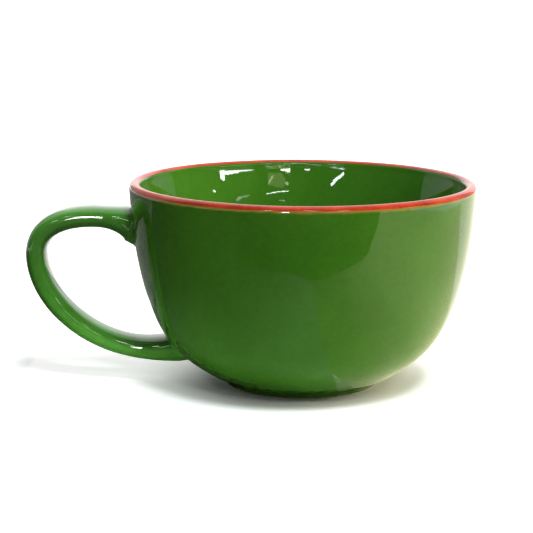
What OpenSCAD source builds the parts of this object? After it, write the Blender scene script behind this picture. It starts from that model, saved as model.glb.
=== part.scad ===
// Wide soup mug with a strap handle, thrown and turned in stoneware and glazed in two colours.
// Millimetres. The axis of the bowl is Z, the table is z = 0 and the handle stands out along -X.
// Sizes are those of the finished mug, over its glaze.

/* [Bowl] */
// Width over the lip
lip_d = 130; // [116:1:150]
// Height from the table to the crest of the lip
mug_h = 77; // [68:1:90]
// Thickness of the wall at the lip
lip_t = 4.4; // [3.6:0.1:5.2]
// Thickness of the wall where the slope inside the lip ends
waist_t = 7.2; // [6.2:0.1:7.8]
// How far below the lip the slope inside it ends
waist_drop = 24; // [20:0.5:29]
// Thickness of the wall just above the heel
heel_t = 5.4; // [4.6:0.1:6.2]
// Height of the inner floor above the table
floor_z = 8; // [7:0.1:9]
// Width of the flat part of the inner floor
floor_d = 48; // [36:1:54]
// Lean of the wall outwards at the lip, in degrees
lip_lean = 3.6; // [1:0.2:7]
// Slope of the wall above the heel, in degrees from level
wall_slope = 35.6; // [31:0.2:39]
// How far the slope at the heel carries into the wall
heel_run = 13.2; // [10:0.2:16]
// How far down the lean at the lip carries
lip_run = 57.7; // [50:0.1:60]

/* [Foot] */
// Width across the foot
foot_d = 58.6; // [54:0.2:61]
// Width of the bare edge that the mug stands on
bearing_w = 2.5; // [1.8:0.1:3.5]
// Height of the side of the foot, up to the turned bevel
foot_h = 1.85; // [1.6:0.05:2.1]
// Width over the heel, where the turned bevel ends
heel_d = 72; // [69:0.5:74]
// Height of the heel above the table
heel_h = 4.9; // [4.5:0.1:5.3]
// Depth of the recess inside the foot
recess_h = 2.6; // [2.2:0.1:3]
// Rounding of the edges that the mug stands on
edge_r = 0.5; // [0.3:0.1:0.8]
// Size of the hollow between the side of the foot and the bevel
foot_hollow = 0.8; // [0.5:0.1:1]

/* [Handle] */
// How far the handle stands out past the lip
handle_reach = 39.5; // [34:0.5:44]
// Thickness of the strap, seen from the side
handle_t = 7.8; // [6.6:0.1:9]
// Width of the strap, from cheek to cheek
handle_w = 14.5; // [12:0.5:17]
// How far below the crest of the lip the upper arm leaves the wall
top_drop = 17; // [16:0.5:20]
// Height at which the lower arm leaves the wall
low_z = 13; // [12.4:0.1:15]
// How far below the crest of the lip the handle stands out furthest
bend_drop = 28.7; // [26:0.1:32]
// Rise of the upper arm from the wall, in degrees
top_rise = 28.4; // [20:0.2:34]
// Fall of the lower arm from the wall, in degrees
low_fall = 9.4; // [6:0.2:13]
// How far the rise carries along the upper arm
top_pull = 8; // [6:0.2:11]
// How far the upright run carries above the bend
up_pull = 18.4; // [16:0.2:20]
// How far the upright run carries below the bend
down_pull = 17.6; // [15:0.2:20]
// How far the fall carries along the lower arm
low_pull = 31.5; // [27:0.5:35]

/* [Joints of the handle] */
// Extra thickness of the strap where the upper arm meets the wall
top_flare_t = 5.5; // [3:0.1:7]
// Extra width of the strap where the upper arm meets the wall
top_flare_w = 4.5; // [2:0.1:6]
// Length over which the upper arm flares
top_flare_run = 13; // [9:0.5:16]
// Extra thickness of the strap where the lower arm meets the wall
low_flare_t = 3.1; // [1.5:0.1:4]
// Extra width of the strap where the lower arm meets the wall
low_flare_w = 3.5; // [1.5:0.1:5]
// Length over which the lower arm flares
low_flare_run = 22; // [14:0.5:26]
// Thickness of the slip that lutes the handle to the wall
slip_t = 0.5; // [0.5:0.05:0.9]
// Width of the bead of slip squeezed out round the handle
slip_bead = 0.7; // [0.6:0.05:1.2]

/* [Glaze] */
// Thickness of the glaze
glaze_t = 0.4; // [0.3:0.02:0.5]
// Height of the bare clay at the outside of the foot
bare_h = 0.7; // [0.6:0.05:0.9]
// Height of the bare clay at the inside of the foot
bare_inner_h = 0.9; // [0.7:0.05:1.2]
// Where the red band starts outside, in degrees round the lip from its widest point
band_out = 16; // [4:1:40]
// Where the red band ends inside, in degrees round the lip from its widest point
band_in = 142; // [120:1:168]

/* [Hidden] */
$fn = 96;
glaze_green = [0.20, 0.42, 0.14];
glaze_red = [0.70, 0.15, 0.13];
clay_white = [0.86, 0.83, 0.76];
slip_white = [0.78, 0.75, 0.68];

wall_steps = 30;
heel_steps = 8;
lip_steps = 12;
hollow_steps = 4;
edge_steps = 3;
arm_steps = 22;
strap_sides = 20;
// Squareness of the strap's section: 2 is an oval, more is closer to a box
strap_square = 2.7;
// Where the inner heel starts, as a share of the way up the wall
heel_share = 0.2;
// Run of the inner heel's bend, as shares of the wall's own run at the heel
bend_share = 0.4;
flat_share = 0.5;
overrun = 1;

lip_r = lip_t / 2;
lip_mid = [lip_d / 2 - lip_r, mug_h - lip_r];
foot_r = foot_d / 2;
heel_r = heel_d / 2;
floor_r = floor_d / 2;
inner_side_r = foot_r - glaze_t - 2 * edge_r - bearing_w;
seat_z = recess_h + glaze_t;
bevel = atan((heel_h - foot_h) / (heel_r - foot_r));

// Curves in the plane of the wall: [distance from the axis, height]
function cubic(p, t) = pow(1 - t, 3) * p[0] + 3 * pow(1 - t, 2) * t * p[1]
    + 3 * (1 - t) * t * t * p[2] + pow(t, 3) * p[3];
function cubic_slope(p, t) = 3 * pow(1 - t, 2) * (p[1] - p[0]) + 6 * (1 - t) * t * (p[2] - p[1])
    + 3 * t * t * (p[3] - p[2]);
function unit(v) = v / norm(v);
function left(v) = [-v[1], v[0]];
function heading(a) = [cos(a), sin(a)];
function flip(list) = [for (i = [len(list) - 1:-1:0]) list[i]];

// The outside of the wall, from the heel to the lip, and the same curve sunk into the wall
wall_top = lip_mid + lip_r * heading(-lip_lean);
wall_curve = [[heel_r, heel_h], [heel_r, heel_h] + heel_run * heading(wall_slope),
              wall_top - lip_run * heading(90 - lip_lean), wall_top];
function wall_point(t, depth) = cubic(wall_curve, t) + depth * left(unit(cubic_slope(wall_curve, t)));
mitre = (wall_slope + bevel) / 2;
function heel_point(depth) = [heel_r, heel_h] + depth / cos(wall_slope - mitre) * heading(mitre + 90);
function outside(depth) = concat([heel_point(depth)],
    [for (i = [1:wall_steps]) wall_point(i / wall_steps, depth)]);

// The rounded lip, from one angle round it to another
function lip_arc(from, to, depth) = [for (i = [0:lip_steps])
    lip_mid + (lip_r - depth) * heading(from + (to - from) * i / lip_steps)];

// The wall thickens down a slope inside the lip, then thins again towards the heel
wall_fall = wall_top[1] - heel_h;
function ease_out(x) = 1 - pow(1 - x, 2);
function ease(x) = x * x * (3 - 2 * x);
function thickness_below(fall) = fall < waist_drop
    ? lip_t + (waist_t - lip_t) * ease_out(fall / waist_drop)
    : waist_t + (heel_t - waist_t) * ease((fall - waist_drop) / (wall_fall - waist_drop));
function thickness(t) = thickness_below(wall_top[1] - cubic(wall_curve, t)[1]);

// The inside of the wall, from the lip down to the flat of the floor
heel_fall = unit(cubic_slope(wall_curve, heel_share));
function inner_heel(depth) = let (start = wall_point(heel_share, thickness(heel_share) - depth),
                                  end = [floor_r, floor_z - depth])
    [start, start - bend_share * heel_run * heel_fall, end + [flat_share * heel_run, 0], end];
function inside(depth) = concat(
    [for (i = [wall_steps:-1:ceil(heel_share * wall_steps) + 1])
        wall_point(i / wall_steps, thickness(i / wall_steps) - depth)],
    [for (i = [0:heel_steps]) cubic(inner_heel(depth), i / heel_steps)],
    [[0, floor_z - depth]]);

// The turned underside: the bevel between foot and heel, and the hollow where it meets the foot
function bevel_r(z, depth) = foot_r + (z - foot_h) / tan(bevel) - depth / sin(bevel);
function foot_corner(depth) = [foot_r - depth, foot_h + depth * (1 - sin(bevel)) / cos(bevel)];
function foot_side(depth) = let (c = foot_corner(depth))
    [for (i = [0:hollow_steps]) let (t = i / hollow_steps)
        pow(1 - t, 2) * (c - [0, foot_hollow]) + 2 * (1 - t) * t * c
        + t * t * (c + foot_hollow * heading(bevel))];

// A solid of revolution that fills the bowl to a skin thickness over its clay
module filled_wall(skin) {
    skin_line = outside(glaze_t - skin);
    rotate_extrude()
        polygon(concat([[0, skin_line[0][1]]], skin_line, [[0, skin_line[wall_steps][1]]]));
}

// The strap's centre line: two curves that meet at the outermost point
top_z = mug_h - top_drop;
bend_z = mug_h - bend_drop;
wall_line = [for (p = outside(0)) [p[1], p[0]]];
function wall_r(z) = lookup(z, wall_line);
top_start = [-wall_r(top_z), top_z];
low_start = [-wall_r(low_z), low_z];
bend = [-(lip_d / 2 + handle_reach - handle_t / 2), bend_z];
upper_curve = [top_start, top_start + top_pull * heading(180 - top_rise),
               bend + [0, up_pull], bend];
lower_curve = [bend, bend - [0, down_pull],
               low_start + low_pull * heading(180 + low_fall), low_start];

// How much the strap is enlarged at a point, from 1 at the wall to 0 at the end of a flare
function flare(p, start, run) = pow(max(0, 1 - norm(p - start) / run), 2);
function strap_t(p) = handle_t + top_flare_t * flare(p, top_start, top_flare_run)
    + low_flare_t * flare(p, low_start, low_flare_run);
function strap_w(p) = handle_w + top_flare_w * flare(p, top_start, top_flare_run)
    + low_flare_w * flare(p, low_start, low_flare_run);
// A station is its place, its heading, its thickness and its width
function station(curve, t) = let (p = cubic(curve, t))
    [p, unit(cubic_slope(curve, t)), strap_t(p), strap_w(p)];
function moved(s, along) = [s[0] + along * s[1], s[1], s[2], s[3]];
top_station = station(upper_curve, 0);
low_station = station(lower_curve, 1);
top_reach = top_station[2];
low_reach = low_station[2];
function strap_stations(extra) = concat(
    [moved(top_station, -(top_reach + extra))],
    [for (i = [0:arm_steps - 1]) station(upper_curve, i / arm_steps)],
    [for (i = [0:arm_steps]) station(lower_curve, i / arm_steps)],
    [moved(low_station, low_reach + extra)]);
// Only the ends of the strap, to cut and fill its seats in the wall
seat_steps = 5;
seat_from = arm_steps - 3;
function top_end() = concat([moved(top_station, -(top_reach + overrun))],
    [for (i = [0:seat_steps]) station(upper_curve, i / arm_steps)]);
function low_end() = concat([for (i = [seat_from:arm_steps]) station(lower_curve, i / arm_steps)],
    [moved(low_station, low_reach + overrun)]);

// One ring of points round a station, grown by a skin
function signed_power(v, n) = sign(v) * pow(abs(v), n);
function ring(s, skin) = [for (i = [0:strap_sides - 1])
    let (a = 360 * i / strap_sides,
         across = (s[2] / 2 + skin) * signed_power(cos(a), 2 / strap_square),
         out = (s[3] / 2 + skin) * signed_power(sin(a), 2 / strap_square),
         p = s[0] + across * left(s[1]))
    [p[0], out, p[1]]];
// A closed loft through rings of the same number of points
module loft(stations, skin) {
    n = strap_sides;
    rings = len(stations);
    points = [for (s = stations) each ring(s, skin)];
    sides = [for (r = [0:rings - 2], i = [0:n - 1])
        let (a = r * n + i, b = r * n + (i + 1) % n)
        each [[a, b, b + n], [a, b + n, a + n]]];
    start_cap = [for (i = [1:n - 2]) [0, i + 1, i]];
    last = (rings - 1) * n;
    end_cap = [for (i = [1:n - 2]) [last, last + i, last + i + 1]];
    polyhedron(points, concat(sides, start_cap, end_cap));
}

// Thrown clay wall and floor
module bowl() {
    color(clay_white)
        rotate_extrude()
            polygon(concat([[0, seat_z], [bevel_r(seat_z, glaze_t), seat_z]],
                           outside(glaze_t),
                           lip_arc(-lip_lean, 180 - lip_lean, glaze_t),
                           inside(glaze_t)));
}

// Ring of clay luted under the floor and turned to a bare bearing edge
module foot_ring() {
    outer_r = foot_r - glaze_t;
    outer_edge = [for (i = [0:edge_steps])
        [outer_r - edge_r, edge_r] + edge_r * heading(-90 + 90 * i / edge_steps)];
    inner_edge = [for (i = [0:edge_steps])
        [inner_side_r + edge_r, edge_r] + edge_r * heading(180 + 90 * i / edge_steps)];
    color(clay_white)
        rotate_extrude()
            polygon(concat(inner_edge, outer_edge, foot_side(glaze_t),
                           [[bevel_r(seat_z, glaze_t), seat_z], [inner_side_r, seat_z]]));
}

// Pulled strap of clay, its ends cut to the curve of the wall
module handle() {
    color(clay_white)
        difference() {
            loft(strap_stations(0), -glaze_t);
            filled_wall(slip_t);
        }
}

// The slip under one end of the strap, with its bead
module luted_joint(end) {
    color(slip_white)
        intersection() {
            loft(end, slip_bead - glaze_t);
            difference() {
                filled_wall(slip_t);
                filled_wall(0);
            }
        }
}

module upper_joint() {
    luted_joint(top_end());
}

module lower_joint() {
    luted_joint(low_end());
}

// Green coat from the foot to the red band, open where the handle is luted on
module outer_glaze() {
    color(glaze_green)
        difference() {
            rotate_extrude()
                polygon(concat([[foot_r, bare_h]], foot_side(0), outside(0),
                               lip_arc(-lip_lean, band_out, 0),
                               flip(lip_arc(-lip_lean, band_out, glaze_t)),
                               flip(outside(glaze_t)), flip(foot_side(glaze_t)),
                               [[foot_r - glaze_t, bare_h]]));
            loft(top_end(), slip_bead - glaze_t);
            loft(low_end(), slip_bead - glaze_t);
        }
}

// Green coat inside the bowl
module inner_glaze() {
    color(glaze_green)
        rotate_extrude()
            polygon(concat(lip_arc(band_in, 180 - lip_lean, 0), inside(0),
                           flip(inside(glaze_t)),
                           flip(lip_arc(band_in, 180 - lip_lean, glaze_t))));
}

// Red band over the lip
module lip_glaze() {
    color(glaze_red)
        rotate_extrude()
            polygon(concat(lip_arc(band_out, band_in, 0), flip(lip_arc(band_out, band_in, glaze_t))));
}

// Green coat round the strap
module handle_glaze() {
    color(glaze_green)
        difference() {
            loft(strap_stations(0), 0);
            loft(strap_stations(overrun), -glaze_t);
            filled_wall(slip_t);
        }
}

// Green coat in the recess of the foot
module base_glaze() {
    color(glaze_green)
        rotate_extrude()
            polygon([[0, recess_h], [inner_side_r - glaze_t, recess_h],
                     [inner_side_r - glaze_t, bare_inner_h], [inner_side_r, bare_inner_h],
                     [inner_side_r, seat_z], [0, seat_z]]);
}

bowl();
foot_ring();
handle();
upper_joint();
lower_joint();
outer_glaze();
inner_glaze();
lip_glaze();
handle_glaze();
base_glaze();
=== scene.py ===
import bisect
import math

import bpy
from mathutils import Matrix, Vector, noise


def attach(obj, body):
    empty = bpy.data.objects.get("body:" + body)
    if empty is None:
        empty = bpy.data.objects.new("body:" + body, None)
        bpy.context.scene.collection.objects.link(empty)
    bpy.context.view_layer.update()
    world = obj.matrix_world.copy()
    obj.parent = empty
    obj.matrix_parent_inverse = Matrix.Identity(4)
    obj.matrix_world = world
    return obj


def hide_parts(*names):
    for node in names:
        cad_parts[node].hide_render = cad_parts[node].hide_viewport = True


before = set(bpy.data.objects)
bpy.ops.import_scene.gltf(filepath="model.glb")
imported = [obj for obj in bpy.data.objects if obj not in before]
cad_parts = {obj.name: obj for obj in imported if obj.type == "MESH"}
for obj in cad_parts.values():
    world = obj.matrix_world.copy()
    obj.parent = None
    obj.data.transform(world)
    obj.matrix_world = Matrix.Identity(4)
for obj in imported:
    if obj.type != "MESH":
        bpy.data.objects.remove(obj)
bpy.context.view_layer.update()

# Camera. It stands in front of the mug and a little above the lip, with the
# handle to its left, far enough away that the lip shows as a flat oval.
MM = 0.001
CAMERA_PLACE = Vector((0.0, -620.0, 163.4)) * MM
CAMERA_YAW, CAMERA_PITCH, CAMERA_ROLL = -1.237, 10.895, 0.3
CAMERA_LENS, CAMERA_SENSOR = 112.5, 36.0
CAMERA_NEAR, CAMERA_FAR = 0.02, 40.0


def make_camera():
    yaw, pitch, roll = (math.radians(a) for a in (CAMERA_YAW, CAMERA_PITCH, CAMERA_ROLL))
    flat = math.cos(pitch)
    ahead = Vector((math.sin(yaw) * flat, math.cos(yaw) * flat, -math.sin(pitch)))
    level = ahead.cross(Vector((0, 0, 1))).normalized()
    above = level.cross(ahead)
    right = level * math.cos(roll) + above * math.sin(roll)
    up = above * math.cos(roll) - level * math.sin(roll)
    data = bpy.data.cameras.new("camera")
    data.lens = CAMERA_LENS
    data.sensor_width = CAMERA_SENSOR
    data.clip_start = CAMERA_NEAR
    data.clip_end = CAMERA_FAR
    camera = bpy.data.objects.new("camera", data)
    turn = Matrix((right, up, -ahead)).transposed().to_4x4()
    camera.matrix_world = Matrix.Translation(CAMERA_PLACE) @ turn
    bpy.context.collection.objects.link(camera)
    bpy.context.scene.camera = camera


make_camera()

# Bowl and foot ring: pale stoneware, thrown and turned, bare only on the edge
# that the mug stands on. Both are the solids of the frame, with their clay.
CLAY_DARK, CLAY_PALE = (0.62, 0.56, 0.46), (0.74, 0.69, 0.59)
SPECK_BROWN = (0.25, 0.17, 0.1)
CLAY_CLOUD, CLAY_GRAIN, CLAY_SPECK, CLAY_TOOTH = 120.0, 900.0, 2600.0, 5000.0
GRAIN_DEPTH, TOOTH_DEPTH = 0.00006, 0.00003
CLAY_ROUGH = (0.62, 0.85)
MOST_OF_NOISE = (0.3, 0.7)


def new_material(name):
    material = bpy.data.materials.new(name)
    material.use_nodes = True
    tree = material.node_tree
    tree.nodes.clear()
    shader = tree.nodes.new("ShaderNodeBsdfPrincipled")
    out = tree.nodes.new("ShaderNodeOutputMaterial")
    tree.links.new(shader.outputs["BSDF"], out.inputs["Surface"])
    return material, tree, shader


def add_noise(tree, scale, detail=3.0, roughness=0.5):
    where = tree.nodes.new("ShaderNodeTexCoord")
    grain = tree.nodes.new("ShaderNodeTexNoise")
    grain.inputs["Scale"].default_value = scale
    grain.inputs["Detail"].default_value = detail
    grain.inputs["Roughness"].default_value = roughness
    tree.links.new(where.outputs["Object"], grain.inputs["Vector"])
    return grain.outputs["Fac"]


def grey(level):
    return (level, level, level)


def add_ramp(tree, value, stops):
    ramp = tree.nodes.new("ShaderNodeValToRGB")
    marks = ramp.color_ramp.elements
    while len(marks) < len(stops):
        marks.new(0.5)
    for mark, (at, colour) in zip(marks, stops):
        mark.position = at
        mark.color = (*colour, 1.0)
    tree.links.new(value, ramp.inputs["Fac"])
    return ramp.outputs["Color"]


def grey_ramp(tree, value, span, levels):
    """From one grey level to another, over a span of the value."""
    return add_ramp(tree, value, [(at, grey(level)) for at, level in zip(span, levels)])


def add_bump(tree, shader, layers):
    """Layers of relief on one another, each a height and its depth in metres."""
    normal = None
    for height, depth in layers:
        bump = tree.nodes.new("ShaderNodeBump")
        bump.inputs["Strength"].default_value = 1.0
        bump.inputs["Distance"].default_value = depth
        tree.links.new(height, bump.inputs["Height"])
        if normal is not None:
            tree.links.new(normal, bump.inputs["Normal"])
        normal = bump.outputs["Normal"]
    tree.links.new(normal, shader.inputs["Normal"])


def mix_colours(tree, share, first, second, way="MIX"):
    mix = tree.nodes.new("ShaderNodeMix")
    mix.data_type = "RGBA"
    mix.blend_type = way
    for socket, colour in (("A", first), ("B", second)):
        target = [s for s in mix.inputs if s.name == socket and s.type == "RGBA"][0]
        if isinstance(colour, tuple):
            target.default_value = (*colour, 1.0)
        else:
            tree.links.new(colour, target)
    factor = [s for s in mix.inputs if s.name == "Factor" and s.type == "VALUE"][0]
    if isinstance(share, float):
        factor.default_value = share
    else:
        tree.links.new(share, factor)
    return [s for s in mix.outputs if s.type == "RGBA"][0]


def make_clay(name, dark, pale):
    """Bare clay: a little cloudy, with brown specks, and rough all over."""
    material, tree, shader = new_material(name)
    cloud = add_ramp(tree, add_noise(tree, CLAY_CLOUD), [(0.35, dark), (0.65, pale)])
    speck = grey_ramp(tree, add_noise(tree, CLAY_SPECK, 2.0), (0.62, 0.7), (0.0, 1.0))
    tree.links.new(mix_colours(tree, speck, cloud, SPECK_BROWN), shader.inputs["Base Color"])
    rough = grey_ramp(tree, add_noise(tree, CLAY_GRAIN), MOST_OF_NOISE, CLAY_ROUGH)
    tree.links.new(rough, shader.inputs["Roughness"])
    add_bump(tree, shader, [(add_noise(tree, CLAY_TOOTH), TOOTH_DEPTH),
                            (add_noise(tree, CLAY_GRAIN), GRAIN_DEPTH)])
    return material


def dress(node, material):
    """Gives a solid of the frame its material."""
    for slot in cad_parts[node].material_slots:
        slot.material = material


clay = make_clay("fired_clay", CLAY_DARK, CLAY_PALE)
dress("bowl", clay)
dress("foot_ring", clay)

# Handle and its joints: a pulled strap of the same clay, and the two pads of
# slip that lute it to the wall. The glaze covers all three, so the solids of
# the frame are enough.
SLIP_DARK, SLIP_PALE = (0.52, 0.47, 0.38), (0.64, 0.59, 0.5)

slip = make_clay("slip", SLIP_DARK, SLIP_PALE)
dress("handle", clay)
dress("upper_joint", slip)
dress("lower_joint", slip)

# Outer glaze: a glossy green coat poured over the wall, 0.4 mm thick, from the
# foot to the red band. It keeps the faint swells of the thrown wall.
GLAZE_T = 0.4
LIP_R, LIP_LEAN = 2.2, 3.6
LIP_MID = Vector((62.8, 74.8))
HEEL = Vector((36.0, 4.9))
WALL_SLOPE, HEEL_RUN, LIP_RUN = 35.6, 13.2, 57.7
FOOT = Vector((29.3, 1.85))
FOOT_SOFT, HEEL_SOFT = 0.8, 1.2
BAND_OUT, BAND_IN = 16.0, 142.0


def heading(angle):
    return Vector((math.cos(math.radians(angle)), math.sin(math.radians(angle))))


def left(v):
    return Vector((-v.y, v.x)).normalized()


def cubic(p, t):
    u = 1 - t
    return u * u * u * p[0] + 3 * u * u * t * p[1] + 3 * u * t * t * p[2] + t * t * t * p[3]


def cubic_slope(p, t):
    u = 1 - t
    return 3 * u * u * (p[1] - p[0]) + 6 * u * t * (p[2] - p[1]) + 3 * t * t * (p[3] - p[2])


WALL_TOP = LIP_MID + LIP_R * heading(-LIP_LEAN)
WALL = [HEEL, HEEL + HEEL_RUN * heading(WALL_SLOPE),
        WALL_TOP - LIP_RUN * heading(90 - LIP_LEAN), WALL_TOP]
BEVEL = math.degrees(math.atan2(HEEL.y - FOOT.y, HEEL.x - FOOT.x))
WALL_STEPS, WALL_FIRST = 110, 5


def soft_corner(before, corner, after, steps):
    """Places and outward directions round a small rounding of a corner."""
    line = []
    for i in range(steps + 1):
        t = i / steps
        u = 1 - t
        place = u * u * before + 2 * u * t * corner + t * t * after
        slope = 2 * u * (corner - before) + 2 * t * (after - corner)
        line.append((place, -left(slope)))
    return line


def wall_line():
    """Places and outward directions up the wall, from above the heel."""
    steps = [i / WALL_STEPS for i in range(WALL_FIRST, WALL_STEPS + 1)]
    return [(cubic(WALL, t), -left(cubic_slope(WALL, t))) for t in steps]


def lip_line(start, end, steps):
    """Places and outward directions round the lip, from one angle to another."""
    angles = [start + (end - start) * i / steps for i in range(steps + 1)]
    return [(LIP_MID + LIP_R * heading(a), heading(a)) for a in angles]


FOOT_LINE = soft_corner(FOOT - Vector((0, FOOT_SOFT)), FOOT, FOOT + FOOT_SOFT * heading(BEVEL), 6)
HEEL_LINE = soft_corner(HEEL - HEEL_SOFT * heading(BEVEL), HEEL,
                        HEEL + HEEL_SOFT * heading(WALL_SLOPE), 8)
WALL_LINE = wall_line()

# Swells of the wall, in mm: how long they are round it and up it, and how high.
BROAD_ROUND, BROAD_UP, BROAD_HEIGHT = 34, 21, 0.11
SMALL_ROUND, SMALL_UP, SMALL_HEIGHT = 13, 9, 0.035
SMALL_SHIFT = 7


def swell(p, lift=1.0):
    """Height of the handmade swells at a point, in millimetres."""
    broad = noise.noise(Vector((p.x / BROAD_ROUND, p.y / BROAD_ROUND, p.z / BROAD_UP)))
    small = noise.noise(Vector((p.x / SMALL_ROUND + SMALL_SHIFT, p.y / SMALL_ROUND,
                                p.z / SMALL_UP)))
    return lift * (BROAD_HEIGHT * broad + SMALL_HEIGHT * small)


def stray(theta, waves, place):
    """Noise that runs once round the mug and joins up with itself."""
    return noise.noise(Vector((math.cos(theta) * waves, math.sin(theta) * waves, place)))


def band_wave(theta, place):
    """How far an edge of the red band strays round the lip, in degrees."""
    return 5.0 * stray(theta, 2.3, place) + 2.2 * stray(theta, 9, place + 4)


OUT_EDGE, IN_EDGE = 1, 9
ROUND = 288
SHARP_EDGE = 45


def add_piece(name, points, faces):
    mesh = bpy.data.meshes.new(name)
    mesh.from_pydata([tuple(p) for p in points], [], faces)
    mesh.update()
    mesh.polygons.foreach_set("use_smooth", [True] * len(mesh.polygons))
    mesh.set_sharp_from_angle(angle=math.radians(SHARP_EDGE))
    piece = bpy.data.objects.new(name, mesh)
    bpy.context.collection.objects.link(piece)
    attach(piece, "root")
    return piece


def revolve(name, outline, close_axis=False):
    """A closed skin of revolution. outline(theta) gives its surface and then its
    back, as places, outward directions and shares of the swells. One that meets
    the axis is closed there on both faces."""
    points, faces = [], []
    for k in range(ROUND):
        theta = 2 * math.pi * k / ROUND
        side = Vector((math.cos(theta), math.sin(theta), 0))
        for place, out, share in outline(theta):
            p = side * place.x + Vector((0, 0, place.y))
            n = side * out.x + Vector((0, 0, out.y))
            points.append((p + n * swell(p, share)) * MM)
    rows = len(points) // ROUND
    for k in range(ROUND):
        a, b = k * rows, (k + 1) % ROUND * rows
        for i in range(rows - 1 if close_axis else rows):
            j = (i + 1) % rows
            faces.append((a + i, b + i, b + j, a + j))
    if close_axis:
        for row, flip in ((0, True), (rows - 1, False)):
            ring = [k * rows + row for k in range(ROUND)]
            points.append(sum((points[v] for v in ring), Vector()) / ROUND)
            middle = len(points) - 1
            for k in range(ROUND):
                a, b = ring[k], ring[(k + 1) % ROUND]
                faces.append((b, a, middle) if flip else (a, b, middle))
    return add_piece(name, points, faces)


def with_back(front):
    """A coat's surface, and then its back against the clay."""
    return front + [(p - GLAZE_T * n, n, 0.0) for p, n, share in reversed(front)]


# Where the coat ends above the bare edge of the foot: its height, and the small
# roll of glaze there, as steps out and up from the corner of the foot.
BARE_H = 0.7
EDGE_ROLL = ((-0.3, -0.05), (-0.12, -0.02), (0.0, 0.15))
EDGE_BACK = 0.1
OUTWARD = Vector((1, 0))
FOOT_SWELL, HEEL_SWELL = 0.3, 0.6


def outer_outline(theta):
    low = BARE_H + 0.14 * stray(theta, 3, 20) + 0.06 * stray(theta, 16, 24)
    roll = [(Vector((FOOT.x + x, low + z)), OUTWARD, 0.0) for x, z in EDGE_ROLL]
    front = [(p, n, FOOT_SWELL) for p, n in FOOT_LINE]
    front += [(p, n, HEEL_SWELL) for p, n in HEEL_LINE]
    front += [(p, n, 1.0) for p, n in WALL_LINE]
    lip = lip_line(-LIP_LEAN, BAND_OUT + band_wave(theta, OUT_EDGE), 6)[1:]
    front += [(p, n, 1.0) for p, n in lip]
    return roll + with_back(front) + [(Vector((FOOT.x - GLAZE_T, low + EDGE_BACK)), OUTWARD, 0.0)]


def combine(tree, way, a, b):
    node = tree.nodes.new("ShaderNodeMath")
    node.operation = way
    for socket, value in zip(node.inputs, (a, b)):
        if isinstance(value, (int, float)):
            socket.default_value = value
        else:
            tree.links.new(value, socket)
    return node.outputs["Value"]


def z_of(tree, vector):
    split = tree.nodes.new("ShaderNodeSeparateXYZ")
    tree.links.new(vector, split.inputs["Vector"])
    return split.outputs["Z"]


def fade(tree, value, low, high):
    """0 below one value and 1 above another, with soft ends."""
    node = tree.nodes.new("ShaderNodeMapRange")
    node.interpolation_type = "SMOOTHSTEP"
    node.inputs["From Min"].default_value = low
    node.inputs["From Max"].default_value = high
    tree.links.new(value, node.inputs["Value"])
    return node.outputs["Result"]


GREEN_DEEP = (0.047, 0.171, 0.0085)
GREEN_MAIN = (0.055, 0.196, 0.0108)
GREEN_PALE = (0.065, 0.221, 0.015)
THIN_AMBER = (0.32, 0.23, 0.03)
GREEN_CLOUD, GREEN_MOTTLE, GREEN_GLOSS = 38.0, 620.0, 260.0
RIPPLE, RIPPLE_DEPTH = 150.0, 0.000022
PEEL, PEEL_DEPTH = 950.0, 0.000003
LOW_TO_HIGH = (0.008, 0.052)
THIN_EDGE, THIN_EDGE_DEPTH = 160.0, 0.0012
DULL = 0.14
STRONGEST = 2.5


def make_green(name, shine=(0.035, 0.075), lift=(1, 1, 1), pale=(1.0, 1.0), facing=None,
               halo=None, dull=None):
    """The green glaze. shine is its least and most roughness, and lift changes its
    red, green and blue. pale is painted light: how much paler it is drawn low on
    the mug, for light off the table, and how much darker high up; facing paints the
    same by how far the surface faces up. Between the heights of halo it runs out to
    amber, and between those of dull it loses some gloss."""
    material, tree, shader = new_material(name)
    spare = STRONGEST if facing else 1.0
    stops = [(0.3, GREEN_DEEP), (0.5, GREEN_MAIN), (0.72, GREEN_PALE)]
    stops = [(at, tuple(spare * a * c for a, c in zip(lift, colour))) for at, colour in stops]
    cloud = add_ramp(tree, add_noise(tree, GREEN_CLOUD, 4.0, 0.55), stops)
    mottle = grey_ramp(tree, add_noise(tree, GREEN_MOTTLE, 3.0, 0.6), MOST_OF_NOISE, (0.93, 1.07))
    colour = mix_colours(tree, 1.0, cloud, mottle, "MULTIPLY")
    where = tree.nodes.new("ShaderNodeTexCoord")
    height = z_of(tree, where.outputs["Object"])
    low_down, high_up = (grey(level) for level in pale)
    if facing:
        surface = tree.nodes.new("ShaderNodeNewGeometry")
        upward = fade(tree, z_of(tree, surface.outputs["Normal"]), -1.0, 1.0)
        low_down, high_up = (
            add_ramp(tree, upward, [((z + 1) / 2, grey(level / STRONGEST)) for z, level in run])
            for run in facing)
    gain = mix_colours(tree, fade(tree, height, *LOW_TO_HIGH), low_down, high_up)
    colour = mix_colours(tree, 1.0, colour, gain, "MULTIPLY")
    if halo:
        edge = combine(tree, "MULTIPLY", add_noise(tree, THIN_EDGE, 2.0), THIN_EDGE_DEPTH)
        reach = fade(tree, combine(tree, "ADD", height, edge), *halo)
        colour = mix_colours(tree, reach, colour, THIN_AMBER)
    tree.links.new(colour, shader.inputs["Base Color"])
    gloss = grey_ramp(tree, add_noise(tree, GREEN_GLOSS), (0.3, 0.75), shine)
    if dull:
        gloss = mix_colours(tree, fade(tree, height, *dull), gloss, grey(DULL))
    tree.links.new(gloss, shader.inputs["Roughness"])
    shader.inputs["IOR"].default_value = 1.5
    add_bump(tree, shader, [(add_noise(tree, RIPPLE, 1.0), RIPPLE_DEPTH),
                            (add_noise(tree, PEEL, 2.0), PEEL_DEPTH)])
    return material


# Painted light: the outside is drawn 1.25 times paler low on the mug and 0.88 as pale high up, for
# light off the table.
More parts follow.
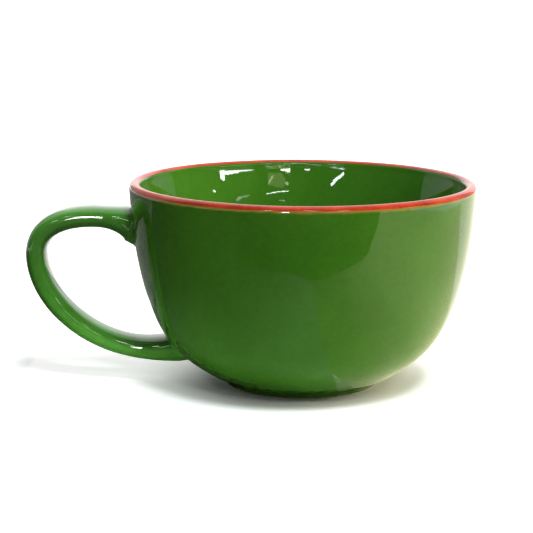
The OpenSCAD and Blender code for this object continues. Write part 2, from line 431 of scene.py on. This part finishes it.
outer = revolve("outer_coat", outer_outline)
outer.data.materials.append(
    make_green("green_glaze_outside", pale=(1.25, 0.88), halo=(0.0748, 0.0760)))
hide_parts("outer_glaze")

# Inner glaze: the same green poured inside and swilled round. The wall thickens
# down a slope inside the lip, so the far side shows the lamps over the near lip.
LIP_T, WAIST_T, HEEL_T = 4.4, 7.2, 5.4
WAIST_DROP = 24.0
FLOOR_R, FLOOR_Z, FLOOR_LAST = 24.0, 8.0, 0.4
HEEL_SHARE, BEND_SHARE, FLAT_SHARE = 0.2, 0.4, 0.5
BEND_STEPS, FLOOR_STEPS = 40, 16


def thickness(t):
    """Thickness of the wall at a place along its outside."""
    fall = WALL_TOP.y - cubic(WALL, t).y
    if fall < WAIST_DROP:
        return LIP_T + (WAIST_T - LIP_T) * (1 - (1 - fall / WAIST_DROP) ** 2)
    x = (fall - WAIST_DROP) / (WALL_TOP.y - HEEL.y - WAIST_DROP)
    return WAIST_T + (HEEL_T - WAIST_T) * x * x * (3 - 2 * x)


def inside_of_wall(t):
    into = left(cubic_slope(WALL, t))
    return cubic(WALL, t) + thickness(t) * into, into


def inner_line():
    """Down the inside of the wall, round the bend and over the floor to the axis."""
    heel_step = int(HEEL_SHARE * WALL_STEPS)
    line = [inside_of_wall(i / WALL_STEPS) for i in range(WALL_STEPS, heel_step, -1)]
    start, _ = inside_of_wall(HEEL_SHARE)
    fall = cubic_slope(WALL, HEEL_SHARE).normalized()
    end = Vector((FLOOR_R, FLOOR_Z))
    bend = [start, start - BEND_SHARE * HEEL_RUN * fall,
            end + Vector((FLAT_SHARE * HEEL_RUN, 0)), end]
    for i in range(1, BEND_STEPS + 1):
        t = i / BEND_STEPS
        line.append((cubic(bend, t), -left(cubic_slope(bend, t))))
    reaches = [FLOOR_R * (1 - i / FLOOR_STEPS) for i in range(1, FLOOR_STEPS)] + [FLOOR_LAST]
    return line + [(Vector((r, FLOOR_Z)), Vector((0, 1))) for r in reaches]


INNER_LINE = inner_line()


def inner_outline(theta):
    lip = lip_line(BAND_IN + band_wave(theta, IN_EDGE), 180 - LIP_LEAN, 6)[:-1]
    return with_back([(p, n, 1.0) for p, n in reversed(lip + INNER_LINE)])


inner = revolve("inner_coat", inner_outline, close_axis=True)
inner.data.materials.append(
    make_green("green_glaze_inside", (0.012, 0.035), lift=(0.93, 0.91, 1.1), dull=(0.0737, 0.0742)))
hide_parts("inner_glaze")

# Lip glaze: a red band brushed over the lip, on top of the pale clay. It is a
# little uneven in colour, and its two edges stray where it meets the green.
RED_DEEP = (0.35, 0.03, 0.014)
RED_MAIN = (0.49, 0.045, 0.019)
RED_PALE = (0.58, 0.065, 0.03)
RED_CLOUD, RED_MOTTLE, RED_GLOSS = 90.0, 800.0, 400.0
BRUSH, BRUSH_DEPTH = 260.0, 0.00003
RED_PEEL, RED_PEEL_DEPTH = 1200.0, 0.000005


def band_outline(theta):
    start = BAND_OUT + band_wave(theta, OUT_EDGE)
    end = BAND_IN + band_wave(theta, IN_EDGE)
    return with_back([(p, n, 1.0) for p, n in lip_line(start, end, 20)])


def make_red(name):
    material, tree, shader = new_material(name)
    cloud = add_ramp(tree, add_noise(tree, RED_CLOUD, 4.0, 0.6),
                     [(0.28, RED_DEEP), (0.5, RED_MAIN), (0.75, RED_PALE)])
    mottle = grey_ramp(tree, add_noise(tree, RED_MOTTLE, 2.0), MOST_OF_NOISE, (0.85, 1.12))
    tree.links.new(mix_colours(tree, 1.0, cloud, mottle, "MULTIPLY"), shader.inputs["Base Color"])
    gloss = grey_ramp(tree, add_noise(tree, RED_GLOSS), (0.3, 0.75), (0.06, 0.14))
    tree.links.new(gloss, shader.inputs["Roughness"])
    shader.inputs["IOR"].default_value = 1.45
    add_bump(tree, shader, [(add_noise(tree, BRUSH, 1.0), BRUSH_DEPTH),
                            (add_noise(tree, RED_PEEL, 2.0), RED_PEEL_DEPTH)])
    return material


band = revolve("lip_band", band_outline)
band.data.materials.append(make_red("red_glaze"))
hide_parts("lip_glaze")

# Handle glaze: the green coat round the strap. It gathers in a narrow fillet
# where the strap meets the wall, and covers the beads of slip.
LIP_D, REACH, STRAP_T, STRAP_W = 130.0, 39.5, 7.8, 14.5
TOP_Z, LOW_Z, BEND_Z = 60.0, 13.0, 48.3
TOP_RISE, LOW_FALL = 28.4, 9.4
TOP_PULL, UP_PULL, DOWN_PULL, LOW_PULL = 8.0, 18.4, 17.6, 31.5
TOP_FLARE = (5.5, 4.5, 13.0)
LOW_FLARE = (3.1, 3.5, 22.0)
SQUARE = 2.7
RUN_ON = 14.0
STRAP_SIDES, ARM_STEPS, FILLET_STEPS = 64, 90, 8
FILLET, FILLET_BED = 1.1, -0.03
TABLE_STEPS = 400
HALVINGS = 40

WALL_TABLE = [(cubic(WALL, i / TABLE_STEPS), -left(cubic_slope(WALL, i / TABLE_STEPS)))
              for i in range(TABLE_STEPS + 1)]
WALL_HEIGHTS = [p.y for p, n in WALL_TABLE]


def wall_at(z):
    """Distance of the wall's glaze from the axis at a height, and its direction."""
    i = min(max(bisect.bisect_left(WALL_HEIGHTS, z), 1), len(WALL_TABLE) - 1)
    (p, n), (q, m) = WALL_TABLE[i - 1], WALL_TABLE[i]
    t = (z - p.y) / (q.y - p.y)
    return p.x + (q.x - p.x) * t, (n + (m - n) * t).normalized()


def wall_gap(p):
    r, n = wall_at(p.z)
    return (math.hypot(p.x, p.y) - r) * n.x


def on_wall(p, lift):
    """The nearest place on the wall's glaze, lifted off it by a little, and the
    wall's direction there."""
    for _ in range(3):
        r, n = wall_at(p.z)
        side = Vector((p.x, p.y, 0)).normalized()
        out = side * n.x + Vector((0, 0, n.y))
        p = p - out * wall_gap(p)
    return p + out * (swell(p) + lift), out


TOP_START = Vector((-wall_at(TOP_Z)[0], TOP_Z))
LOW_START = Vector((-wall_at(LOW_Z)[0], LOW_Z))
BEND = Vector((-(LIP_D / 2 + REACH - STRAP_T / 2), BEND_Z))
UPPER_ARM = [TOP_START, TOP_START + TOP_PULL * heading(180 - TOP_RISE),
             BEND + Vector((0, UP_PULL)), BEND]
LOWER_ARM = [BEND, BEND - Vector((0, DOWN_PULL)),
             LOW_START + LOW_PULL * heading(180 + LOW_FALL), LOW_START]


def flare(p, start, run):
    """How much of an end's flare is left at a place: 1 at the wall, 0 past its run."""
    return max(0.0, 1 - (p - start).length / run) ** 2


def strap_station(u):
    """Place, direction, thickness and width of the strap; u runs from -1 in the
    wall at the top, through 0 to 2 along the strap, to 3 in the wall below."""
    arm, t = (UPPER_ARM, u) if u < 1 else (LOWER_ARM, u - 1)
    inside = min(max(t, 0.0), 1.0)
    p, d = cubic(arm, inside), cubic_slope(arm, inside).normalized()
    t1, w1, run1 = TOP_FLARE
    t2, w2, run2 = LOW_FLARE
    top, low = flare(p, TOP_START, run1), flare(p, LOW_START, run2)
    thick = STRAP_T + t1 * top + t2 * low
    wide = STRAP_W + w1 * top + w2 * low
    return p + d * (t - inside) * RUN_ON, d, thick, wide


def signed_power(v, n):
    return math.copysign(abs(v) ** n, v)


def strap_point(u, k, skin):
    """A place on the strap's rounded square: u along it, k round it."""
    p, d, thick, wide = strap_station(u)
    a = 2 * math.pi * k / STRAP_SIDES
    across = (thick / 2 + skin) * signed_power(math.cos(a), 2 / SQUARE)
    side = (wide / 2 + skin) * signed_power(math.sin(a), 2 / SQUARE)
    q = p + across * left(d)
    return Vector((q.x, side, q.y))


def strap_reach(k, skin, gap, lower):
    """Where a lengthwise line comes within a gap of the wall, as a value of u."""
    near, far = (1.4, 3.0) if lower else (0.6, -1.0)
    for _ in range(HALVINGS):
        mid = (near + far) / 2
        if wall_gap(strap_point(mid, k, skin)) > gap:
            near = mid
        else:
            far = mid
    return near


def strap_fillet(lower):
    """Where the strap's own surface ends, and the rows of the fillet from there
    on to the wall."""
    ends = [strap_reach(k, 0.0, FILLET, lower) for k in range(STRAP_SIDES)]
    touch = [strap_point(strap_reach(k, 0.0, 0.0, lower), k, 0.0) for k in range(STRAP_SIDES)]
    middle = sum(touch, Vector()) / STRAP_SIDES
    rows = [[] for _ in range(FILLET_STEPS)]
    for k in range(STRAP_SIDES):
        start = strap_point(ends[k], k, 0.0)
        root, out = on_wall(touch[k], 0.0)
        along = touch[(k + 1) % STRAP_SIDES] - touch[k - 1]
        away = along.cross(out).normalized()
        if away.dot(root - middle) < 0:
            away = -away
        wide = FILLET * (1 + 0.25 * noise.noise(root / 3.0))
        land, _ = on_wall(root + away * wide, FILLET_BED)
        for i, row in enumerate(rows, 1):
            t = i / FILLET_STEPS
            s = 1 - t
            row.append(s * s * start + 2 * s * t * root + t * t * land)
    return ends, rows


def strap_normal(u, k):
    small_u, small_k = 1e-3, 0.05
    across = strap_point(u, k + small_k, 0.0) - strap_point(u, k - small_k, 0.0)
    along = strap_point(u + small_u, k, 0.0) - strap_point(u - small_u, k, 0.0)
    n = across.cross(along).normalized()
    p, d, thick, wide = strap_station(u)
    return n if n.dot(strap_point(u, k, 0.0) - Vector((p.x, 0, p.y))) > 0 else -n


# Swells of the pulled strap: shorter and lower than those of the wall, and none
# in the sixth of its length next to each end.
STRAP_SWELL, STRAP_SWELL_SCALE, STRAP_SWELL_SHIFT = 0.8, 1.6, Vector((3, 5, 7))
STRAP_CALM = 6
BACK_GAP = 0.1


def strap_coat():
    """Points and faces of the coat: its surface with both fillets, then its back."""
    sides = range(STRAP_SIDES)
    top_ends, top_rows = strap_fillet(False)
    low_ends, low_rows = strap_fillet(True)
    rows = top_rows[::-1]
    for i in range(2 * ARM_STEPS + 1):
        f = i / (2 * ARM_STEPS)
        ease = min(1.0, STRAP_CALM * f, STRAP_CALM * (1 - f))
        row = []
        for k in sides:
            u = top_ends[k] + (low_ends[k] - top_ends[k]) * f
            p = strap_point(u, k, 0.0)
            height = swell(p * STRAP_SWELL_SCALE + STRAP_SWELL_SHIFT, STRAP_SWELL)
            row.append(p + strap_normal(u, k) * ease * height)
        rows.append(row)
    rows += low_rows
    bottoms = [strap_reach(k, -GLAZE_T, BACK_GAP, True) for k in sides]
    tops = [strap_reach(k, -GLAZE_T, BACK_GAP, False) for k in sides]
    for i in range(ARM_STEPS + 1):
        f = i / ARM_STEPS
        rows.append([strap_point(bottoms[k] + (tops[k] - bottoms[k]) * f, k, -GLAZE_T)
                     for k in sides])
    faces = []
    for r in range(len(rows)):
        a, b = r * STRAP_SIDES, (r + 1) % len(rows) * STRAP_SIDES
        for k in sides:
            j = (k + 1) % STRAP_SIDES
            faces.append((a + k, a + j, b + j, b + k))
    return [p * MM for row in rows for p in row], faces


# How much paler the strap's glaze is drawn, low on the mug and then high up, where
# it faces down (-1) to up (1). This is painted light: low on the mug the faces
# turned down and sideways are paler, for light off the table, and so are the faces
# turned straight up, for light from behind.
STRAP_PAINTED_LIGHT = [
    [(-1, 1.9), (-0.3, 2.15), (0, 2.05), (0.3, 1.5), (0.55, 1.05), (0.85, 0.85), (0.95, 0.85),
     (1, 1.4)],
    [(-1, 0.9), (0.1, 0.93), (0.45, 1.0), (0.62, 1.05), (0.95, 1.05)]]

strap = add_piece("strap_coat", *strap_coat())
strap.data.materials.append(
    make_green("green_glaze_strap", (0.015, 0.05), lift=(1.14, 1.12, 2.2), facing=STRAP_PAINTED_LIGHT))
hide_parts("handle_glaze")

# Base glaze: a thin green coat poured into the recess under the foot and wiped
# off the edge that the mug stands on.
RECESS_H, RECESS_R, BARE_INNER_H = 2.6, 25.4, 0.9
RECESS_BEND, RECESS_FIRST = 1.1, 0.3
ROOF_STEPS, CORNER_STEPS = 12, 6
ROOF_SWELL, CORNER_SWELL = 0.6, 0.2
LOW_LIP_H, LOW_LIP_OUT = 0.2, 0.15
UPWARD, DOWNWARD = Vector((0, 1)), Vector((0, -1))


def base_outline(theta):
    side = RECESS_R - GLAZE_T
    low = BARE_INNER_H + 0.12 * stray(theta, 4, 50)
    roof = side - RECESS_BEND - RECESS_FIRST
    front = [(Vector((RECESS_FIRST + roof * i / ROOF_STEPS, RECESS_H)), DOWNWARD, ROOF_SWELL)
             for i in range(ROOF_STEPS + 1)]
    corner = Vector((side - RECESS_BEND, RECESS_H - RECESS_BEND))
    for i in range(1, CORNER_STEPS + 1):
        a = 90 - 90 * i / CORNER_STEPS
        front.append((corner + RECESS_BEND * heading(a), -heading(a), CORNER_SWELL))
    front.append((Vector((side, low + LOW_LIP_H)), -OUTWARD, 0.0))
    front.append((Vector((side + LOW_LIP_OUT, low)), DOWNWARD, 0.0))
    back = [(Vector((RECESS_R, low)), OUTWARD, 0.0),
            (Vector((RECESS_R, RECESS_H + GLAZE_T)), UPWARD, 0.0),
            (Vector((RECESS_FIRST, RECESS_H + GLAZE_T)), UPWARD, 0.0)]
    return front + back


base = revolve("recess_coat", base_outline, close_axis=True)
base.data.materials.append(make_green("green_glaze_recess"))
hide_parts("base_glaze")

# Table and surround: a white table top in a plain white surround. The table
# glows a little wherever it is seen, and less close to the mug, so that the
# mug's shadow stays on it.
WHITE = (1, 1, 1)
TABLE_HALF, TABLE_ROUGH = 7.0, 0.8
TABLE_SEEN, TABLE_BOUNCE = (0.88, 0.88, 0.87), 0.7
GLOW_REACH = (0.03, 0.072)
GLOW_FAR, GLOW_NEAR = 0.62, 0.02
SURROUND_LIGHT = 0.08


def seen_rays(tree):
    """1 for the rays that show a background, by eye, by gloss or through glass."""
    path = tree.nodes.new("ShaderNodeLightPath")
    seen = combine(tree, "MAXIMUM", path.outputs["Is Camera Ray"], path.outputs["Is Glossy Ray"])
    return combine(tree, "MAXIMUM", seen, path.outputs["Is Transmission Ray"])


def make_table():
    h = TABLE_HALF
    mesh = bpy.data.meshes.new("floor")
    mesh.from_pydata([(-h, -h, 0), (h, -h, 0), (h, h, 0), (-h, h, 0)], [], [(0, 1, 2, 3)])
    floor = bpy.data.objects.new("floor", mesh)
    bpy.context.collection.objects.link(floor)
    material, tree, shader = new_material("white_table")
    shader.inputs["Roughness"].default_value = TABLE_ROUGH
    shader.inputs["Specular IOR Level"].default_value = 0.0
    seen = seen_rays(tree)
    colour = mix_colours(tree, seen, grey(TABLE_BOUNCE), TABLE_SEEN)
    tree.links.new(colour, shader.inputs["Base Color"])
    where = tree.nodes.new("ShaderNodeTexCoord")
    reach = tree.nodes.new("ShaderNodeVectorMath")
    reach.operation = "LENGTH"
    tree.links.new(where.outputs["Object"], reach.inputs[0])
    away = fade(tree, reach.outputs["Value"], *GLOW_REACH)
    level = combine(tree, "MULTIPLY", away, GLOW_FAR - GLOW_NEAR)
    level = combine(tree, "MULTIPLY", seen, combine(tree, "ADD", level, GLOW_NEAR))
    glow = tree.nodes.new("ShaderNodeEmission")
    tree.links.new(level, glow.inputs["Strength"])
    both = tree.nodes.new("ShaderNodeAddShader")
    out = [n for n in tree.nodes if n.type == "OUTPUT_MATERIAL"][0]
    tree.links.new(shader.outputs["BSDF"], both.inputs[0])
    tree.links.new(glow.outputs["Emission"], both.inputs[1])
    tree.links.new(both.outputs["Shader"], out.inputs["Surface"])
    mesh.materials.append(material)


def make_surround():
    world = bpy.data.worlds.new("surround")
    bpy.context.scene.world = world
    world.use_nodes = True
    tree = world.node_tree
    tree.nodes.clear()
    strength = combine(tree, "MULTIPLY", seen_rays(tree), 1.0 - SURROUND_LIGHT)
    strength = combine(tree, "ADD", strength, SURROUND_LIGHT)
    back = tree.nodes.new("ShaderNodeBackground")
    back.inputs["Color"].default_value = (*WHITE, 1)
    tree.links.new(strength, back.inputs["Strength"])
    out = tree.nodes.new("ShaderNodeOutputWorld")
    tree.links.new(back.outputs["Background"], out.inputs["Surface"])


bpy.context.scene.view_settings.view_transform = "Standard"
make_table()
make_surround()

# Lamps: a large cool one high in front, a warm one on the right and a weak one
# behind on the left, which the gloss doesn't show, and three small panels under
# the ceiling, which it does.
MUG_MIDDLE = Vector((0, 0, 0.05))
KEY_DISTANCE = 2.0
COOL, WARM = (0.86, 1, 0.97), (1.22, 1, 0.82)


def round_mug(azimuth, elevation, distance):
    """A place round the mug: azimuth 0 is the camera's side and 90 the right."""
    a, e = math.radians(azimuth), math.radians(elevation)
    away = Vector((math.sin(a) * math.cos(e), -math.cos(a) * math.cos(e), math.sin(e)))
    return MUG_MIDDLE + away * distance


def hang_lamp(data, azimuth, elevation, distance):
    lamp = bpy.data.objects.new(data.name, data)
    lamp.location = round_mug(azimuth, elevation, distance)
    lamp.rotation_euler = (MUG_MIDDLE - lamp.location).to_track_quat("-Z", "Y").to_euler()
    bpy.context.collection.objects.link(lamp)
    return lamp


def add_key(name, azimuth, elevation, level, spread, tint=WHITE):
    """A large far lamp, whose light is even over the table. spread is how wide it
    looks from the mug, in degrees."""
    data = bpy.data.lights.new(name, "SUN")
    data.energy = level
    data.color = tint
    data.angle = math.radians(spread)
    hang_lamp(data, azimuth, elevation, KEY_DISTANCE).visible_glossy = False


def add_ceiling_lamp(name, azimuth, elevation, distance, wide, tall, power):
    data = bpy.data.lights.new(name, "AREA")
    data.shape = "RECTANGLE"
    data.size = wide
    data.size_y = tall
    data.energy = power
    hang_lamp(data, azimuth, elevation, distance).visible_camera = False


add_key("key_front", 25, 62, 2.55, 16, COOL)
add_key("key_right", 95, 30, 2.5, 40, WARM)
add_key("key_back", 205, 35, 0.9, 60)
add_ceiling_lamp("ceiling_middle", 5, 40, 2.2, 0.26, 0.16, 4.0)
add_ceiling_lamp("ceiling_left", -24, 36, 2.4, 0.20, 0.14, 2.0)
add_ceiling_lamp("ceiling_right", 30, 38, 2.4, 0.20, 0.14, 2.0)

# Cloths, curtains and sheets: what the glaze mirrors beside the lamps. They lie on
# the table just outside the picture and hang round it, throw no shadow, and show
# only in the gloss. The dark and grey cloths stand for the parts of a plain room;
# the glowing sheets, grey or bright, are painted reflections, which glow but light
# nothing, and one dark sheet is a painted shade, which shows nowhere and only keeps
# light off the mug.
CLOTH_ROUGH, CLOTH_SHEEN, WEAVE = 0.9, 0.1, 60.0
ARC_ACROSS, ARC_UP = 48, 12
CURTAIN_FAR, CURTAIN_BACK = 3.2, 3.4


def hang_cloth(name, points, faces, material, darkens=False, seen=True):
    """Hangs a cloth. One that darkens keeps the light behind it off the mug, and
    one that isn't seen doesn't show in the gloss."""
    mesh = bpy.data.meshes.new(name)
    mesh.from_pydata([tuple(p) for p in points], [], faces)
    mesh.materials.append(material)
    cloth = bpy.data.objects.new(name, mesh)
    bpy.context.collection.objects.link(cloth)
    cloth.visible_camera = False
    cloth.visible_glossy = seen
    cloth.visible_diffuse = darkens
    cloth.visible_shadow = False
    cloth.visible_transmission = False


def share_along(tree, ahead, first, last):
    """0 where a stretch along a direction starts and 1 where it ends, in mm."""
    where = tree.nodes.new("ShaderNodeTexCoord")
    along = tree.nodes.new("ShaderNodeVectorMath")
    along.operation = "DOT_PRODUCT"
    along.inputs[1].default_value = (*ahead, 0)
    tree.links.new(where.outputs["Object"], along.inputs[0])
    share = combine(tree, "SUBTRACT", along.outputs["Value"], first * MM)
    return combine(tree, "DIVIDE", share, (last - first) * MM)


def add_cloth(name, shape, shade, darkens=False, seen=True):
    """A matt cloth of points and faces. shade is its colour, or a list of its
    colours at values of x in millimetres."""
    material, tree, shader = new_material(name)
    shader.inputs["Roughness"].default_value = CLOTH_ROUGH
    shader.inputs["Specular IOR Level"].default_value = CLOTH_SHEEN
    if isinstance(shade, list):
        first, last = shade[0][0], shade[-1][0]
        share = share_along(tree, (1, 0), first, last)
        colour = add_ramp(tree, share, [((x - first) / (last - first), grey(level))
                                        for x, level in shade])
    else:
        levels = (shade * 0.8, shade * 1.2)
        colour = grey_ramp(tree, add_noise(tree, WEAVE, 2.0), MOST_OF_NOISE, levels)
    tree.links.new(colour, shader.inputs["Base Color"])
    hang_cloth(name, *shape, material, darkens, seen)


def add_sheet(name, shape, level, tint=WHITE, ahead=None):
    """A glowing sheet of points and faces, a painted reflection: it lights nothing and
    shows only in the gloss. level is its brightness, or a list of brightnesses at
    distances in millimetres along the direction ahead."""
    material, tree, shader = new_material(name)
    shader.inputs["Base Color"].default_value = (0, 0, 0, 1)
    shader.inputs["Specular IOR Level"].default_value = 0.0
    shader.inputs["Emission Color"].default_value = (*tint, 1)
    if ahead is None:
        shader.inputs["Emission Strength"].default_value = level
    else:
        first, last = level[0][0], level[-1][0]
        most = max(bright for at, bright in level)
        share = share_along(tree, ahead, first, last)
        stops = [((at - first) / (last - first), grey(bright / most)) for at, bright in level]
        strength = combine(tree, "MULTIPLY", add_ramp(tree, share, stops), most)
        tree.links.new(strength, shader.inputs["Emission Strength"])
    hang_cloth(name, *shape, material)


def arc(distance, azimuths, elevations):
    """A curtain or glowing sheet hung in an arc round the mug, as a grid."""
    (a0, a1), (e0, e1) = azimuths, elevations
    points = [round_mug(a0 + (a1 - a0) * i / ARC_ACROSS, e0 + (e1 - e0) * j / ARC_UP, distance)
              for j in range(ARC_UP + 1) for i in range(ARC_ACROSS + 1)]
    row = ARC_ACROSS + 1
    corners = [j * row + i for j in range(ARC_UP) for i in range(ARC_ACROSS)]
    return points, [(a, a + 1, a + 1 + row, a + row) for a in corners]


def flat(height, *corners):
    """A cloth or glowing sheet laid flat on the table, with its height and its corners in mm."""
    return [Vector((x, y, height)) * MM for x, y in corners], [tuple(range(len(corners)))]


add_cloth("dark_curtain", arc(CURTAIN_FAR, (-104, 114), (-1, 75)), 0.04, darkens=True)
# The grey and bright curtains are painted reflections: glowing sheets that light nothing and show
# only in the gloss.
add_sheet("painted_reflection_grey_left", arc(CURTAIN_FAR, (-160, -104), (-1, 33)), 0.5)
add_sheet("painted_reflection_grey_right", arc(CURTAIN_FAR, (114, 150), (-1, 33)), 0.5)
add_sheet("painted_reflection_bright_back", arc(CURTAIN_BACK, (182, 215), (4, 80)), 1.5)
add_sheet("painted_reflection_bright_low", arc(CURTAIN_BACK, (150, 182), (4, 30)), 1.5)
add_cloth("dark_cloth_front", flat(
    1.5, (-108, -148), (-82, -152), (-50, -160), (-18, -162), (0, -157), (14, -147), (28, -147),
    (45, -153), (62, -157), (103, -158), (129, -166), (161, -180), (205, -209), (420, -370),
    (1700, -700), (1700, -3100), (-2000, -3100), (-560, -700), (-190, -248), (-160, -204),
    (-129, -167)), 0.03, darkens=True)
# A painted shade: a dark sheet that shows nowhere and only keeps light off the mug's left side.
add_cloth("painted_shade_left", flat(
    1.2, (-108, -150), (-108, 700), (-2500, 1500), (-2500, -2500), (-560, -700)),
    0.04, darkens=True, seen=False)
add_cloth("dark_cloth_left", flat(
    1.5, (-120, 52), (-128, -2), (-150, -32), (-171, -65), (-197, -74), (-247, -90),
    (-298, -106), (-700, -230), (-700, 210), (-256, 92), (-179, 72)), 0.03, darkens=True)
add_cloth("grey_cloth_left", flat(
    1.0, (-90, 60), (-120, 53), (-179, 73), (-256, 93), (-700, 211), (-700, 900), (-150, 620),
    (-90, 160)), 0.2)
# Painted reflection: this cloth's grey runs from near black on the left to mid grey by the foot,
# and sets how bright the mug's front mirrors.
add_cloth("grey_cloth_front", flat(
    0.8, (-420, 60), (-118, 130), (-45, 35), (-25, -8), (0, -14), (14, -20), (14, -330),
    (-100, -330), (-420, -520)),
    [(-200, 0.04), (-130, 0.05), (-88, 0.1), (-55, 0.1), (-35, 0.16), (-15, 0.23), (0, 0.27),
     (14, 0.34)])
# The pale cloths on the right and behind are painted reflections too: glowing sheets that light
# nothing.
add_sheet("painted_reflection_pale_right", flat(
    0.6, (14, -44), (14, -240), (340, -240), (340, 600), (26, 600), (26, -14), (22, -21)),
    [(-5, 0.34), (5, 0.45), (12, 0.53), (22, 0.72), (30, 0.88), (43, 0.93), (55, 1.05),
     (65, 1.15), (80, 1.27), (110, 1.3), (170, 1.2)], tint=(1.05, 1, 0.62), ahead=(0.93, 0.3676))
add_sheet("painted_reflection_pale_back", flat(
    0.7, (30, 22), (160, 88), (420, 220), (420, 600), (20, 600)), 1.7, tint=(1.05, 1, 0.8))

# Highlights: painted highlights, small glowing panels in front of the curtain, one
# for each highlight in the glaze. They light nothing and show only in the gloss,
# and their corners are rounded, as those of lamps and windows.
GLINT_FAR, GLINT_SIDES, GLINT_CORNER = 2.4, 24, 0.5
STRAW, DAYLIGHT = (1, 0.97, 0.5), (0.85, 0.97, 1)


def add_glint(name, azimuth, elevation, wide, tall, level, turn=0.0, tint=WHITE):
    """A panel whose sides and turn are in degrees, as seen from the mug."""
    middle = round_mug(azimuth, elevation, GLINT_FAR)
    ahead = (middle - MUG_MIDDLE).normalized()
    level_side = Vector((0, 0, 1)).cross(ahead).normalized()
    upward = ahead.cross(level_side)
    a = math.radians(turn)
    side = level_side * math.cos(a) + upward * math.sin(a)
    rise = upward * math.cos(a) - level_side * math.sin(a)
    half_wide, half_tall = (GLINT_FAR * math.tan(math.radians(s / 2)) for s in (wide, tall))
    points = []
    for k in range(GLINT_SIDES):
        b = 2 * math.pi * k / GLINT_SIDES
        across = side * signed_power(math.cos(b), GLINT_CORNER) * half_wide
        points.append(middle + across + rise * signed_power(math.sin(b), GLINT_CORNER) * half_tall)
    add_sheet(name, (points, [tuple(range(GLINT_SIDES))]), level, tint)


add_glint("glint_arm", -10.5, 5, 4.5, 17, 40)
add_glint("glint_hook_end", 65.8, 20.4, 4.2, 2.4, 26)
add_glint("glint_hook_line", 52, 23.8, 25, 1.3, 26, turn=-9.5)
add_glint("glint_dot", 74.8, 15.2, 2.6, 0.5, 26)
add_glint("glint_faint_line", 49.5, 14.8, 11, 0.35, 5, turn=-10)
add_glint("glint_haze", 20.5, 22, 13, 4.0, 1.5, tint=STRAW)
add_glint("glint_haze_streak", 25, 21.8, 4.8, 0.8, 7, turn=-30, tint=(1, 0.97, 0.6))
add_glint("glint_haze_spot", 12.1, 21.5, 2.2, 0.9, 7, tint=(1, 0.97, 0.7))
add_glint("glint_oval", 13.7, 25.3, 7.0, 1.2, 30, tint=(1, 1, 0.85))
add_glint("glint_bar", 19.8, 18.1, 17.5, 0.4, 30, turn=-5)
add_glint("glint_marks", 15.8, 15.3, 4.5, 0.3, 8)
add_glint("glint_rim", -3.5, 27.5, 4.5, 2.6, 26)
add_glint("glint_streak", -27.5, 22.7, 10.5, 1.4, 28, turn=-23, tint=DAYLIGHT)
